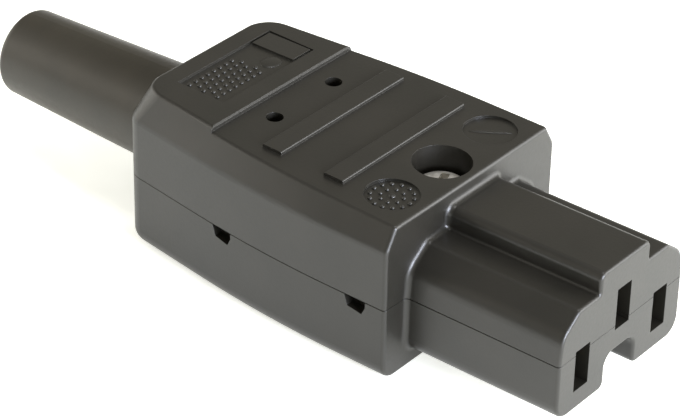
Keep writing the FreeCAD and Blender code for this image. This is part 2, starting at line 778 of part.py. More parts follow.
def lower_ways(body, d, at, above):
    """Ways for the contact tails through the front wall."""
    start = at.back(d.chamber_back - OVERLAP)
    end = at.front_x - d.wall - OVERLAP
    for index, (side, height) in enumerate(slot_places(d)):
        way_floor = at.split_z + height - d.chamber_below
        cut_box(body, "tail_way_%d" % index, (end, start),
                (side - d.chamber_half_width, side + d.chamber_half_width), (way_floor, above))
    ring = d.ring_half_width + d.sleeve_play
    earth_floor = at.up(d.slot_shift) - d.chamber_below
    cut_box(body, "ring_seat", (end, at.back(d.ring_start - d.sleeve_play)), (-ring, ring),
            (earth_floor, above))


def lower_posts(body, d, at, floor, above):
    """Screw post with its nut pocket, terminal pedestals and dowel sockets."""
    earth_seat = at.up(d.slot_shift) - d.jaw_half_height - d.sheet - d.rest_play
    outer_seat = at.down(d.slot_shift) - d.jaw_half_height - d.sheet - d.rest_play
    root = floor - OVERLAP
    pad_post(body, "screw_post", at.screw_x, ZERO, d.post_radius, (root, earth_seat))
    pad_post(body, "screw_spigot", at.screw_x, ZERO, d.spigot_radius, (root, at.down(d.spigot_end)))
    half = d.tail_half_width - d.lip_play / 2
    pad_box(body, "earth_pedestal", (at.back(d.earth_tail_end), at.back(d.ring_end + OVERLAP)),
            (-half, half), (root, earth_seat))
    pilot = at.down(d.pilot_end)
    cut_hole(body, "earth_well", at.back(d.earth_terminal_back), ZERO, d.collar_hole, (floor, above))
    for side, sign in (("left", 1), ("right", -1)):
        y = d.outer_terminal_side * sign
        pad_box(body, side + "_pedestal", (at.back(d.outer_tail_end), at.back(d.outer_tail_start)),
                (y - half, y + half), (root, outer_seat))
        cut_hole(body, side + "_well", at.back(d.outer_terminal_back), y, d.collar_hole, (pilot, above))
        dowel_x = at.back(d.dowel_back)
        dowel_y = d.dowel_spacing / 2 * sign
        pad_post(body, side + "_socket_post", dowel_x, dowel_y, d.dowel_post, (root, at.down(d.parting_gap)))
        cut_hole(body, side + "_socket", dowel_x, dowel_y, d.dowel_radius + d.thread_play * 2,
                 (at.down(d.dowel_length * 1.5), above))
    cut_hole(body, "post_hole", at.screw_x, ZERO, d.screw_hole, (-as_size(OVERLAP), above))
    pocket = new_sketch(body, "nut_pocket", "XY", -as_size(OVERLAP))
    draw_hexagon(pocket, at.screw_x, ZERO, d.nut_width + d.nut_play * 2)
    cut(body, pocket, d.nut_inset + d.nut_thickness + d.nut_play + OVERLAP)


def draw_hexagon(sketch, x, y, across_flats):
    corner = across_flats / math.sqrt(3.0)
    angles = [math.radians(60 * step) for step in range(6)]
    draw_outline(sketch, [(x + corner * math.cos(a), y + corner * math.sin(a)) for a in angles])


def lower_cord_end(body, d, at, floor, above):
    """Cord cradle with its gripping ridges, and the seat of the bend sleeve."""
    root = floor - OVERLAP
    top = at.down(d.cradle_top)
    cradle = (at.clamp_x - d.cradle_half_length, at.clamp_x + d.cradle_half_length)
    pad_box(body, "cradle", cradle, (-d.cradle_half_width, d.cradle_half_width), (root, top))
    for name, sign in (("front_ridge", 1), ("rear_ridge", -1)):
        x = at.clamp_x + d.ridge_spacing / 2 * sign
        pad_box(body, name, (x - d.ridge_half_width, x + d.ridge_half_width),
                (-d.cord_half_width, d.cord_half_width), (top - OVERLAP, top + d.ridge))
    for side, sign in (("left", 1), ("right", -1)):
        cut_hole(body, side + "_pilot", at.clamp_x, d.peephole_spacing / 2 * sign,
                 d.clamp_screw_radius + d.thread_play, (at.down(d.pilot_end), above))
    bulkhead_x = at.back_x + d.wall + d.sleeve_play * 2 + d.flange_length
    pad_box(body, "lower_bulkhead", (bulkhead_x, bulkhead_x + d.bulkhead),
            (-d.body_half_width / 2, d.body_half_width / 2), (root, at.split_z))
    ways = (("lower_cord_way", bulkhead_x, d.bulkhead, d.bulkhead_hole),
            ("lower_neck_way", at.back_x, d.wall, d.sleeve_neck + d.sleeve_play))
    for name, x, length, radius in ways:
        way = new_sketch(body, name, "YZ", x - OVERLAP)
        draw_circle(way, ZERO, at.sleeve_z, radius)
        cut(body, way, length + OVERLAP * 2)


def side_reach(d, at, x):
    """Half width of the body's plan at x."""
    run = at.front_x - d.bend_back - x
    if run.value < 0:
        return d.body_half_width
    drawn_in = (d.body_half_width - d.rear_half_width) / (d.body_length - d.bend_back)
    return d.body_half_width - run * drawn_in


def lower_windows(body, d, at, above):
    """Blind windows in the rim of both side walls, shallower towards the rear."""
    for name, place in (("front", d.window_front_back), ("rear", d.window_rear_back)):
        x = at.back(place)
        inner = side_reach(d, at, x) - d.window_cut
        low = at.down(d.window_depth)
        half = d.window_half_width
        outline = [
            (x - half, above),
            (x - half, at.split_z),
            (x - half + d.window_corner, low + d.window_slant),
            (x + half - d.window_corner, low),
            (x + half, low + d.window_corner * 2),
            (x + half, above),
        ]
        right = new_sketch(body, name + "_right_window", "XZ", inner)
        draw_outline(right, outline)
        cut(body, right, d.body_half_width)
        left = new_sketch(body, name + "_left_window", "XZ", -(inner + d.body_half_width))
        draw_outline(left, outline)
        cut(body, left, d.body_half_width)


def make_lower_shell(doc, d, at):
    body = new_body(doc, "lower_shell")
    outside = lower_outside(doc, body, d, at)
    soften_front(doc, body, outside, d, at, at.split_z.value)
    lower_inside(body, d, at)
    return body


# Bend sleeve


def make_bend_sleeve(doc, d, at):
    """Rubber sleeve turned about the cord axis, with a neck and a flange held by the shells."""
    body = new_body(doc, "bend_sleeve", (at.back_x, ZERO, at.sleeve_z))
    section = new_sketch(body, "sleeve_section", "XZ", ZERO)
    flange_front = d.wall + d.sleeve_play + d.flange_length
    draw_outline(
        section,
        [
            (flange_front, d.sleeve_bore),
            (flange_front, d.sleeve_flange),
            (d.wall + d.sleeve_play, d.sleeve_flange),
            (d.wall + d.sleeve_play, d.sleeve_neck),
            (-d.sleeve_play, d.sleeve_neck),
            (-d.sleeve_play, d.sleeve_root_radius, d.crown_round),
            (-d.sleeve_reach, d.sleeve_tip_radius, d.tip_round),
            (-d.sleeve_reach, d.sleeve_bore),
        ],
    )
    turned = body.newObject("PartDesign::Revolution", "sleeve_turned")
    turned.Profile = section
    turned.ReferenceAxis = (section, ["H_Axis"])
    return body


# Contacts, drawn about the nose face and the slot centre


def make_contact(doc, label, d, at, side, height):
    """Two sprung jaws on a web of folded sheet."""
    body = new_body(doc, label, (at.nose_x, side, at.split_z + height))
    low = -d.jaw_half_height
    for name, sign in (("left_jaw", 1), ("right_jaw", -1)):
        jaw = new_sketch(body, name, "XY", low - d.sheet / 2)
        bends = (
            (d.jaw_start_back, d.jaw_mouth_gap),
            (d.jaw_pinch_back, d.jaw_pinch_gap),
            (d.jaw_end_back, d.jaw_rear_gap),
        )
        inner = [(-back, gap * sign) for back, gap in bends]
        outer = [(-back, (gap + d.sheet) * sign) for back, gap in reversed(bends)]
        draw_outline(jaw, inner + outer)
        pad(body, jaw, d.jaw_half_height * 2 + d.sheet / 2)
    half = d.jaw_rear_gap + d.sheet
    web = (low - d.sheet, low)
    pad_box(body, "web", (-d.jaw_end_back, -d.web_start_back), (-half, half), web)
    return body, half, web


def thread_terminal(body, d, x, y, web):
    """A collar drawn down from the sheet, with its threaded hole."""
    pad_post(body, "collar", x, y, d.collar_radius, (web[0] - d.collar_length, web[1]))
    cut_hole(body, "thread", x, y, d.screw_radius + d.thread_play,
             (web[0] - d.collar_length - OVERLAP, web[1] + OVERLAP))


def make_outer_contact(doc, label, d, at, sign):
    side = d.slot_spacing / 2 * sign
    body, half, web = make_contact(doc, label, d, at, side, -d.slot_shift)
    pad_box(body, "strip", (-d.outer_tail_start - OVERLAP, -d.jaw_end_back + OVERLAP), (-half, half), web)
    y = (d.outer_terminal_side - d.slot_spacing / 2) * sign
    pad_box(body, "tail", (-d.outer_tail_end, -d.outer_tail_start),
            (y - d.tail_half_width, y + d.tail_half_width), web)
    thread_terminal(body, d, -d.outer_terminal_back, y, web)
    return body


def make_earth_contact(doc, label, d, at):
    body, half, web = make_contact(doc, label, d, at, ZERO, d.slot_shift)
    pad_box(body, "strip", (-d.ring_start - OVERLAP, -d.jaw_end_back + OVERLAP), (-half, half), web)
    pad_box(body, "ring", (-d.ring_end, -d.ring_start), (-d.ring_half_width, d.ring_half_width), web)
    pad_box(body, "tail", (-d.earth_tail_end, -d.ring_end + OVERLAP),
            (-d.tail_half_width, d.tail_half_width), web)
    cut_hole(body, "post_clearance", -d.case_screw_back, ZERO, d.ring_hole,
             (web[0] - OVERLAP, web[1] + OVERLAP))
    thread_terminal(body, d, -d.earth_terminal_back, ZERO, web)
    return body


def make_contact_spring(doc, label, d, at, side, height):
    """A steel clip over the jaws: two legs that follow their outsides, and a bridge on top."""
    body = new_body(doc, label, (at.nose_x, side, at.split_z + height))

    def jaw_outside(back):
        run = (back - d.jaw_pinch_back) / (d.jaw_end_back - d.jaw_pinch_back)
        return d.jaw_pinch_gap + (d.jaw_rear_gap - d.jaw_pinch_gap) * run + d.sheet + d.spring_play

    ends = (d.spring_front_back, d.spring_rear_back)
    bridge = d.jaw_half_height + d.spring_play
    for name, sign in (("left_leg", 1), ("right_leg", -1)):
        leg = new_sketch(body, name, "XY", -d.jaw_half_height)
        inner = [(-back, jaw_outside(back) * sign) for back in ends]
        outer = [(-back, (jaw_outside(back) + d.spring_sheet) * sign) for back in reversed(ends)]
        draw_outline(leg, inner + outer)
        pad(body, leg, d.jaw_half_height + bridge + d.spring_sheet)
    reach = jaw_outside(d.spring_front_back) + d.spring_sheet / 2
    quarter = (d.spring_rear_back - d.spring_front_back) / 4
    pad_box(body, "bridge", (-(d.spring_rear_back - quarter), -(d.spring_front_back + quarter)),
            (-reach, reach), (bridge, bridge + d.spring_sheet))
    return body


# Screws, nut and plates, drawn about the underside of the screw head


def make_screw(doc, label, place, head_radius, head, radius, length):
    """A pan-head screw. Its head is domed by a bevel, and its tip is pointed a little."""
    body = new_body(doc, label, place)
    bevel = head / 4
    tip = radius / 3
    spin(
        body,
        "screw",
        [
            (ZERO, head),
            (ZERO, -length),
            (radius - tip, -length),
            (radius, tip - length),
            (radius, ZERO),
            (head_radius, ZERO),
            (head_radius, head - bevel * 2),
            (head_radius - bevel, head - bevel / 2),
            (head_radius - bevel * 2.5, head),
        ],
    )
    return body


def cut_slot(body, d, head_radius, head):
    cut_box(body, "driver_slot", (-head_radius - OVERLAP, head_radius + OVERLAP),
            (-d.slot_cut / 2, d.slot_cut / 2), (head - d.slot_cut, head + OVERLAP))


def make_case_screw(doc, d, at):
    place = (at.screw_x, ZERO, at.up(d.counterbore_floor))
    body = make_screw(doc, "case_screw", place, d.case_head_radius, d.case_head,
                      d.screw_radius, d.case_length)
    arms = (
        ("long_arm", d.cross_length / 2, d.cross_width / 2),
        ("cross_arm", d.cross_width / 2, d.cross_length / 2),
    )
    for name, half_x, half_y in arms:
        cut_box(body, name, (-half_x, half_x), (-half_y, half_y),
                (d.case_head - d.cross_depth, d.case_head + OVERLAP))
    return body


def make_case_nut(doc, d, at):
    body = new_body(doc, "case_nut", (at.screw_x, ZERO, d.nut_inset))
    outline = new_sketch(body, "hexagon", "XY", ZERO)
    draw_hexagon(outline, ZERO, ZERO, d.nut_width)
    pad(body, outline, d.nut_thickness)
    cut_hole(body, "thread", ZERO, ZERO, d.screw_radius + d.thread_play,
             (-as_size(OVERLAP), d.nut_thickness + OVERLAP))
    return body


def make_terminal(doc, prefix, d, at, back, y, height):
    """A wire plate that straddles the terminal, and the slotted screw that presses it down."""
    terminal_top = at.split_z + height - d.jaw_half_height
    place = (at.back(back), y, terminal_top + d.rest_play)
    plate = new_body(doc, prefix + "_wire_plate", place)
    inner = d.tail_half_width + d.lip_play
    outer = inner + d.plate_lip
    pad_box(plate, "plate", (-d.plate_half, d.plate_half), (-outer, outer), (ZERO, d.plate_sheet))
    for name, sign in (("left_lip", 1), ("right_lip", -1)):
        pad_box(plate, name, (-d.plate_half, d.plate_half), (inner * sign, outer * sign),
                (-d.lip_drop, d.plate_sheet))
    cut_hole(plate, "screw_way", ZERO, ZERO, d.screw_radius + d.thread_play * 2,
             (-as_size(OVERLAP), d.plate_sheet + OVERLAP))
    screw_place = (place[0], place[1], place[2] + d.plate_sheet)
    screw = make_screw(doc, prefix + "_terminal_screw", screw_place, d.terminal_head_radius,
                       d.terminal_head, d.screw_radius, d.terminal_length)
    cut_slot(screw, d, d.terminal_head_radius, d.terminal_head)
    return [plate, screw]


# Cord clamp


def make_cord_clamp(doc, d, at):
    bar_z = at.up(d.clamp_underside)
    bar = new_body(doc, "cord_clamp_bar", (at.clamp_x, ZERO, bar_z))
    pad_box(bar, "bar", (-d.clamp_half_length, d.clamp_half_length),
            (-d.clamp_half_width, d.clamp_half_width), (ZERO, d.clamp_thickness))
    pad_box(bar, "grip_ridge", (-d.ridge_half_width, d.ridge_half_width),
            (-d.cord_half_width, d.cord_half_width), (-d.ridge, d.clamp_thickness / 2))
    pieces = [bar]
    for side, sign in (("left", 1), ("right", -1)):
        y = d.peephole_spacing / 2 * sign
        cut_hole(bar, side + "_screw_way", ZERO, y, d.clamp_screw_radius + d.thread_play * 2,
                 (-as_size(OVERLAP), d.clamp_thickness + OVERLAP))
        screw_place = (at.clamp_x, y, bar_z + d.clamp_thickness)
        screw = make_screw(doc, "cord_clamp_screw_" + side, screw_place, d.clamp_head_radius,
                           d.clamp_head, d.clamp_screw_radius, d.clamp_length)
        cut_slot(screw, d, d.clamp_head_radius, d.clamp_head)
        pieces.append(screw)
    return pieces


# Checking and writing


def check_document(doc):
    for thing in doc.Objects:
        if "Invalid" in thing.State or "Error" in thing.State:
            raise RuntimeError("%s did not build: %s" % (thing.Name, thing.getStatusString()))
        if thing.TypeId == "PartDesign::Pocket":
            before = thing.BaseFeature.Shape.Volume
            if thing.Shape.Volume > before - TOUCH:
                raise RuntimeError("%s cuts nothing" % thing.Name)


def write_pieces(pieces):
    os.makedirs("parts", exist_ok=True)
    for piece in pieces:
        shape = piece.Shape
        if shape.isNull() or not shape.isValid() or len(shape.Solids) != 1:
            raise RuntimeError("%s is not one sound solid" % piece.Label)
        shape.Solids[0].exportStep("parts/%s.step" % piece.Label)
        print("%-24s %9.1f mm3" % (piece.Label, shape.Volume))


def main():
    doc = FreeCAD.newDocument("appliance_connector")
    d = Dims(doc)
    doc.recompute()
    at = Layout(d)
    pieces = [make_lower_shell(doc, d, at), make_upper_shell(doc, d, at), make_bend_sleeve(doc, d, at)]
    pieces += [make_case_screw(doc, d, at), make_case_nut(doc, d, at)]
    outer = -d.slot_shift
    for side, sign in (("left", 1), ("right", -1)):
        pieces.append(make_outer_contact(doc, side + "_contact", d, at, sign))
        spring_y = d.slot_spacing / 2 * sign
        pieces.append(make_contact_spring(doc, side + "_contact_spring", d, at, spring_y, outer))
        terminal_y = d.outer_terminal_side * sign
        pieces += make_terminal(doc, side, d, at, d.outer_terminal_back, terminal_y, outer)
    pieces.append(make_earth_contact(doc, "earth_contact", d, at))
    pieces.append(make_contact_spring(doc, "earth_contact_spring", d, at, ZERO, d.slot_shift))
    pieces += make_terminal(doc, "earth", d, at, d.earth_terminal_back, ZERO, d.slot_shift)
    pieces += make_cord_clamp(doc, d, at)
    doc.recompute()
    check_document(doc)
    write_pieces(pieces)


main()
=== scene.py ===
"""Looks of a rewireable appliance connector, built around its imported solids. Sizes are in millimetres."""
import json
import math

import bmesh
import bpy
from mathutils import Matrix, Vector


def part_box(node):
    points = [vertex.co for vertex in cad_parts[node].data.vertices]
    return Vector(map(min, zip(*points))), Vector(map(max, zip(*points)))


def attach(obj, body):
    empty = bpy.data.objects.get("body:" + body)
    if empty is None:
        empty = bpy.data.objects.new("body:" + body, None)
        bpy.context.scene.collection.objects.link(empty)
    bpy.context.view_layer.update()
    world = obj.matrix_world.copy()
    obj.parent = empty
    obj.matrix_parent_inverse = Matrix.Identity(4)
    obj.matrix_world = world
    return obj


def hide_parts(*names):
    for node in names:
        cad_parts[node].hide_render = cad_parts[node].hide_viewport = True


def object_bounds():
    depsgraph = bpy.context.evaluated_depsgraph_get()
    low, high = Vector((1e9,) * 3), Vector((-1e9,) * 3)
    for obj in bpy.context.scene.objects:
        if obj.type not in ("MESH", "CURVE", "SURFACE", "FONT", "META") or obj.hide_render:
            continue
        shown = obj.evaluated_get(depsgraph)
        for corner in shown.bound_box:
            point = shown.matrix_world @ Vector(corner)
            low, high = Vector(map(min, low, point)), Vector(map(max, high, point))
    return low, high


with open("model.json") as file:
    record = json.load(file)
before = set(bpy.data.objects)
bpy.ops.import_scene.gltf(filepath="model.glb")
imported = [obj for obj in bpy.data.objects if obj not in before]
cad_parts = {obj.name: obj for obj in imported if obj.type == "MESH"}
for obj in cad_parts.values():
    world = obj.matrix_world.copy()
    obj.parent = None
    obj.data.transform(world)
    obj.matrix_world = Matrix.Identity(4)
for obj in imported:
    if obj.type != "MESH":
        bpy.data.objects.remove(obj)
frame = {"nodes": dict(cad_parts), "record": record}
cad_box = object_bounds()
nodes = frame["nodes"]
MM = 0.001

# Camera, as fitted to the photograph

CAMERA_AIM = (4.511, 0.743, 6.481)
CAMERA_DISTANCE = 316.77
CAMERA_AZIMUTH = math.radians(38.483)
CAMERA_ELEVATION = math.radians(32.531)
CAMERA_ROLL = math.radians(1.168)
CAMERA_LENS = 152.066
CAMERA_SENSOR = 36.0
CAMERA_NEAREST = 10.0

# Skins of the mouldings and metals

PATCH_EDGES = (0.3, 0.7)  # noise values between which one tint turns into the other
PATCH_DETAIL = 5.0
GRAIN_DETAIL = 3.0
GRAIN_RELIEF = (0.02, 0.35)  # depth and strength
STREAK_RELIEF = (0.006, 0.3)
EDGE_SAMPLES = 6
MIX_SHARE, MIX_FIRST, MIX_SECOND, MIX_RESULT = 0, 6, 7, 2  # sockets of a Mix node for colours

# Screws: shank radius, pitch, head height, and the driver's cut as width, length, cross length and depth

DRIVER_SLOT = (0.8, 8.0, 0.8, 0.8)
DRIVER_CROSS = (0.9, 3.4, 3.4, 1.2)
CASE_SCREW = (1.5, 0.5, 2.0, DRIVER_CROSS)
TERMINAL_SCREW = (1.5, 0.5, 2.0, DRIVER_SLOT)
CLAMP_SCREW = (1.45, 1.1, 1.8, DRIVER_SLOT)
HEAD_MESH = {"Vertices": 48, "Side Segments": 6, "Fill Segments": 10}
SHANK_MESH = {"Vertices": 32, "Side Segments": 150}
DOME_POWER = 5.0  # how late the head's top starts to fall towards its rim
DOME_SLOPE = -0.5  # fall at the rim for each step above the head's middle
SHANK_MIDDLE = -0.499  # in shank lengths from the seat, so that the shank reaches into the head

# Raised marks in the recesses of the case, on the part's own floors

DISC_X = 18.68
DISC_Y = 8.49
DISC_FLOOR = 18.474
DISC_RINGS = ((2.35, 14, 0.26, 0.0), (1.3, 8, 0.24, 0.3))  # radius, pips, half width, first angle
DISC_BOSS = 0.4
DISC_RISE = 0.24
DISC_RIDGE = (2.4, 0.3, 0.12, 35.0)  # half length, half width, rise, turn
LABEL_FLOOR = 19.575
LABEL_OVAL_PLACE = (-7.6, 3.2)
LABEL_OVAL = (1.1, 1.4, 0.16)  # half length, half width, rise
LABEL_FIRST_PIP = (-11.1, -6.4)
LABEL_PIP = (0.28, 0.28, 0.22)
LABEL_PITCH = 1.0
LABEL_ROWS = 5
LABEL_COLUMNS = 8
PIP_MESH = {"Segments": 16, "Rings": 10, "Radius": 1.0}
PIP_SINK = -0.2  # bottom of a dome below its floor, in rises
UNCUT = -2.0  # beyond the ball that a dome is cut from

# Paper floor and room

BRIGHT_SIDE = (0.78, 0.62, 0.0)  # towards the side that most of the light comes from
FLOOR_HALF = 2000.0
FLOOR_DROP = 0.05
FLOOR_BAND = (5.0, 50.0)  # where the dimmer floor turns into the brighter one, along BRIGHT_SIDE
FLOOR_GLOW = (0.64, 1.15)
FIBRE_SIZE = 3.0
FIBRE_DETAIL = 4.0
PAPER_ROUGHNESS = 0.9
ROOM_TURN = (-0.4, 0.3)  # where the dim half of the room turns into the bright one, along BRIGHT_SIDE
DIM_WALL = ("#4c4c4a", "#63625d")  # at floor level and a little above it
BRIGHT_WALL = ("#ffffff", "#f4f4f2")
WALL_FOOT = 0.12
CEILING = ((0.35, "#bdb8aa"), (0.6, "#aaa598"), (1.0, "#b0aea8"))
SOFTBOX_DISTANCE = 900.0


def linear(code):
    """An sRGB hex colour as linear light."""
    parts = [int(code[i:i + 2], 16) / 255 for i in (1, 3, 5)]
    return [p / 12.92 if p <= 0.04045 else ((p + 0.055) / 1.055) ** 2.4 for p in parts] + [1.0]


def per(size):
    """Pattern scale at which one feature is this many millimetres wide."""
    return 1 / (size * MM)


def add(tree, kind, inputs=None, **settings):
    """Add a node with its settings. An input gets a number, or a link from a socket or a node's first output."""
    node = tree.nodes.new(kind)
    for name, value in settings.items():
        setattr(node, name, value)
    for name, value in (inputs or {}).items():
        if isinstance(value, bpy.types.Node):
            value = value.outputs[0]
        if isinstance(value, bpy.types.NodeSocket):
            tree.links.new(value, node.inputs[name])
        else:
            node.inputs[name].default_value = value
    return node


# Materials


def new_material(name):
    """An empty material, its tree and the piece's own coordinates."""
    material = bpy.data.materials.new(name)
    material.use_nodes = True
    tree = material.node_tree
    tree.nodes.clear()
    return material, tree, add(tree, "ShaderNodeTexCoord").outputs["Object"]


def patchy_tint(tree, coords, size, first, second):
    """A colour that drifts from one tint to another in soft patches."""
    patch = add(tree, "ShaderNodeTexNoise", {"Vector": coords, "Scale": per(size), "Detail": PATCH_DETAIL})
    share = add(tree, "ShaderNodeMapRange", {
        "Value": patch, "From Min": PATCH_EDGES[0], "From Max": PATCH_EDGES[1],
    })
    tint = add(tree, "ShaderNodeMix", {
        MIX_SHARE: share, MIX_FIRST: linear(first), MIX_SECOND: linear(second),
    }, data_type="RGBA")
    return tint.outputs[MIX_RESULT]


def make_moulding(name, dark, light, grain_size, patch_size, roughness, ior, edge_radius):
    """A moulded skin: a fine grain from the mould, patches where the melt flowed, and softened edges."""
    material, tree, coords = new_material(name)
    tint = patchy_tint(tree, coords, patch_size, dark, light)
    grain = add(tree, "ShaderNodeTexNoise", {"Vector": coords, "Scale": per(grain_size), "Detail": GRAIN_DETAIL})
    rough = add(tree, "ShaderNodeMapRange", {"Value": grain, "To Min": roughness[0], "To Max": roughness[1]})
    edge = add(tree, "ShaderNodeBevel", {"Radius": edge_radius * MM}, samples=EDGE_SAMPLES)
    relief = add(tree, "ShaderNodeBump", {
        "Height": grain, "Distance": GRAIN_RELIEF[0] * MM, "Strength": GRAIN_RELIEF[1], "Normal": edge,
    })
    surface = add(tree, "ShaderNodeBsdfPrincipled", {
        "Base Color": tint, "Roughness": rough, "IOR": ior, "Normal": relief,
    })
    add(tree, "ShaderNodeOutputMaterial", {"Surface": surface})
    return material


def make_metal(name, dull, bright, streak_size, patch_size, roughness, stretch=(1, 1, 1)):
    """A worked metal: streaks from its making, and patches where handling has dulled it."""
    material, tree, coords = new_material(name)
    tint = patchy_tint(tree, coords, patch_size, dull, bright)
    along = add(tree, "ShaderNodeMapping", {"Vector": coords, "Scale": stretch})
    streak = add(tree, "ShaderNodeTexNoise", {"Vector": along, "Scale": per(streak_size), "Detail": GRAIN_DETAIL})
    rough = add(tree, "ShaderNodeMapRange", {"Value": streak, "To Min": roughness[0], "To Max": roughness[1]})
    relief = add(tree, "ShaderNodeBump", {
        "Height": streak, "Distance": STREAK_RELIEF[0] * MM, "Strength": STREAK_RELIEF[1],
    })
    surface = add(tree, "ShaderNodeBsdfPrincipled", {
        "Base Color": tint, "Roughness": rough, "Metallic": 1.0, "Normal": relief,
    })
    add(tree, "ShaderNodeOutputMaterial", {"Surface": surface})
    return material


# Satin black with a faint brown cast. The mould's grain is about 0.1 mm, drawn coarser so that it shows.
case_plastic = make_moulding("moulded_black_thermoset", "#181712", "#201e19", grain_size=0.35, patch_size=7.0,
                             roughness=(0.33, 0.46), ior=1.55, edge_radius=0.05)
# A softer and browner black, with a matt skin and a bloom of dust. Its 0.2 mm grain is drawn coarser.
sleeve_rubber = make_moulding("moulded_sleeve_rubber", "#2b2820", "#332f26", grain_size=0.5, patch_size=5.0,
                              roughness=(0.36, 0.48), ior=1.52, edge_radius=0.2)
# A warmer black than the case, with a soft sheen.
clamp_plastic = make_moulding("moulded_black_nylon", "#2d2a27", "#3a3631", grain_size=0.25, patch_size=4.0,
                              roughness=(0.4, 0.55), ior=1.53, edge_radius=0.1)
# A warm and fairly bright plating, dulled by fine marks all over and by handling.
nickel_plate = make_metal("nickel_plated_steel", "#a9a59c", "#c9c6be", streak_size=0.15, patch_size=1.2,
                          roughness=(0.24, 0.4))
# A pale and almost matt plating, cloudy where the tumbling has bruised it.
zinc_plate = make_metal("zinc_plated_steel", "#c6c3bc", "#f7f5f1", streak_size=0.12, patch_size=0.9,
                        roughness=(0.62, 0.82))
# Yellow strip with rolling streaks along it and a patchy brown tarnish.
brass_strip = make_metal("rolled_brass_strip", "#b08a45", "#dcbb73", streak_size=0.15, patch_size=2.5,
                         roughness=(0.22, 0.42), stretch=(0.06, 1, 1))
# Grey strip with drawing streaks and a straw temper colour.
spring_steel = make_metal("tempered_spring_steel", "#7f7d80", "#a39b8c", streak_size=0.12, patch_size=3.0,
                          roughness=(0.26, 0.44), stretch=(1, 1, 0.08))

finishes = {
    "shell_plastic": case_plastic,
    "sleeve_rubber": sleeve_rubber,
    "clamp_plastic": clamp_plastic,
    "plated_steel": nickel_plate,
    "contact_brass": brass_strip,
    "spring_steel": spring_steel,
}
for subpart in frame["record"]["subparts"]:
    skins = nodes[subpart["node"]].data.materials
    skins.clear()
    skins.append(finishes[subpart["material_slot"]])


# Pieces grown by geometry nodes

MERGE_DISTANCE = 0.001
SHARP_ANGLE = math.radians(35)


def new_tree(name, sizes):
    """A geometry tree with named sizes, a place and a material, and the sockets that bring them in."""
    tree = bpy.data.node_groups.new(name, "GeometryNodeTree")
    tree.interface.new_socket("Geometry", in_out="OUTPUT", socket_type="NodeSocketGeometry")
    tree.interface.new_socket("Geometry", in_out="INPUT", socket_type="NodeSocketGeometry")
    for size in sizes:
        tree.interface.new_socket(size, in_out="INPUT", socket_type="NodeSocketFloat")
    tree.interface.new_socket("Place", in_out="INPUT", socket_type="NodeSocketVector")
    tree.interface.new_socket("Material", in_out="INPUT", socket_type="NodeSocketMaterial")
    return tree, add(tree, "NodeGroupInput").outputs


def close_tree(tree, geometry, given):
    """End a tree with plain geometry at its place, in its material."""
    placed = add(tree, "GeometryNodeTransform", {"Geometry": geometry, "Translation": given["Place"]})
    plain = add(tree, "GeometryNodeRealizeInstances", {"Geometry": placed})
    finished = add(tree, "GeometryNodeSetMaterial", {"Geometry": plain, "Material": given["Material"]})
    add(tree, "NodeGroupOutput", {"Geometry": finished})


def grow(name, tree, values, seed):
    """Run a tree on a seed mesh and keep the result as one plain, clean mesh."""
    piece = bpy.data.objects.new(name, seed)
    bpy.context.collection.objects.link(piece)
    modifier = piece.modifiers.new("grow", "NODES")
    modifier.node_group = tree
    for item in tree.interface.items_tree:
        if item.in_out == "INPUT" and item.name in values:
            modifier[item.identifier] = values[item.name]
    grown = piece.evaluated_get(bpy.context.evaluated_depsgraph_get())
    mesh = bpy.data.meshes.new_from_object(grown)
    piece.modifiers.remove(modifier)
    piece.data = mesh
    work = bmesh.new()
    work.from_mesh(mesh)
    bmesh.ops.remove_doubles(work, verts=work.verts, dist=MERGE_DISTANCE * MM)
    bmesh.ops.recalc_face_normals(work, faces=work.faces)
    work.to_mesh(mesh)
    work.free()
    mesh.polygons.foreach_set("use_smooth", [True] * len(mesh.polygons))
    mesh.set_sharp_from_angle(angle=SHARP_ANGLE)
    return piece


